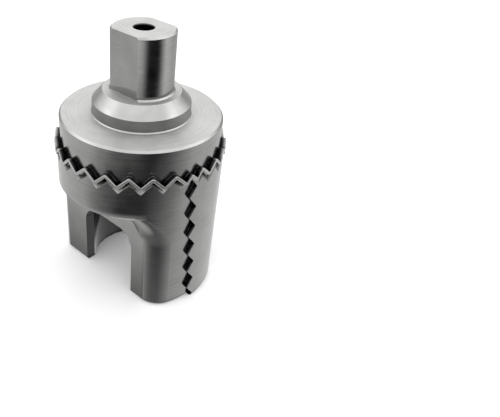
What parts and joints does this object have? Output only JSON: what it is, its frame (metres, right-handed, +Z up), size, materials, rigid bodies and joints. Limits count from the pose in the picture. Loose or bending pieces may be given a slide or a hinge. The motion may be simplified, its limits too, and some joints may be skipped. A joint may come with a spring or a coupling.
{
  "type": "ravioli machine die",
  "caption": "Stainless ravioli machine die: flatted shank, stepped collar, zigzag blade round the body and two legs with zigzag shear edges.",
  "frame": {"origin": "centre of the plane of the feet, on the axis of the shank", "axes": "+Z up along the axis from the feet to the shank; the two open pockets face -Y and +Y; the legs stand at +X and -X"},
  "size_m": [0.045, 0.045, 0.0715],
  "materials": {
    "steel": "satin turned"
  },
  "bodies": {
    "root": {"die_body": "steel"}
  },
  "joints": []
}
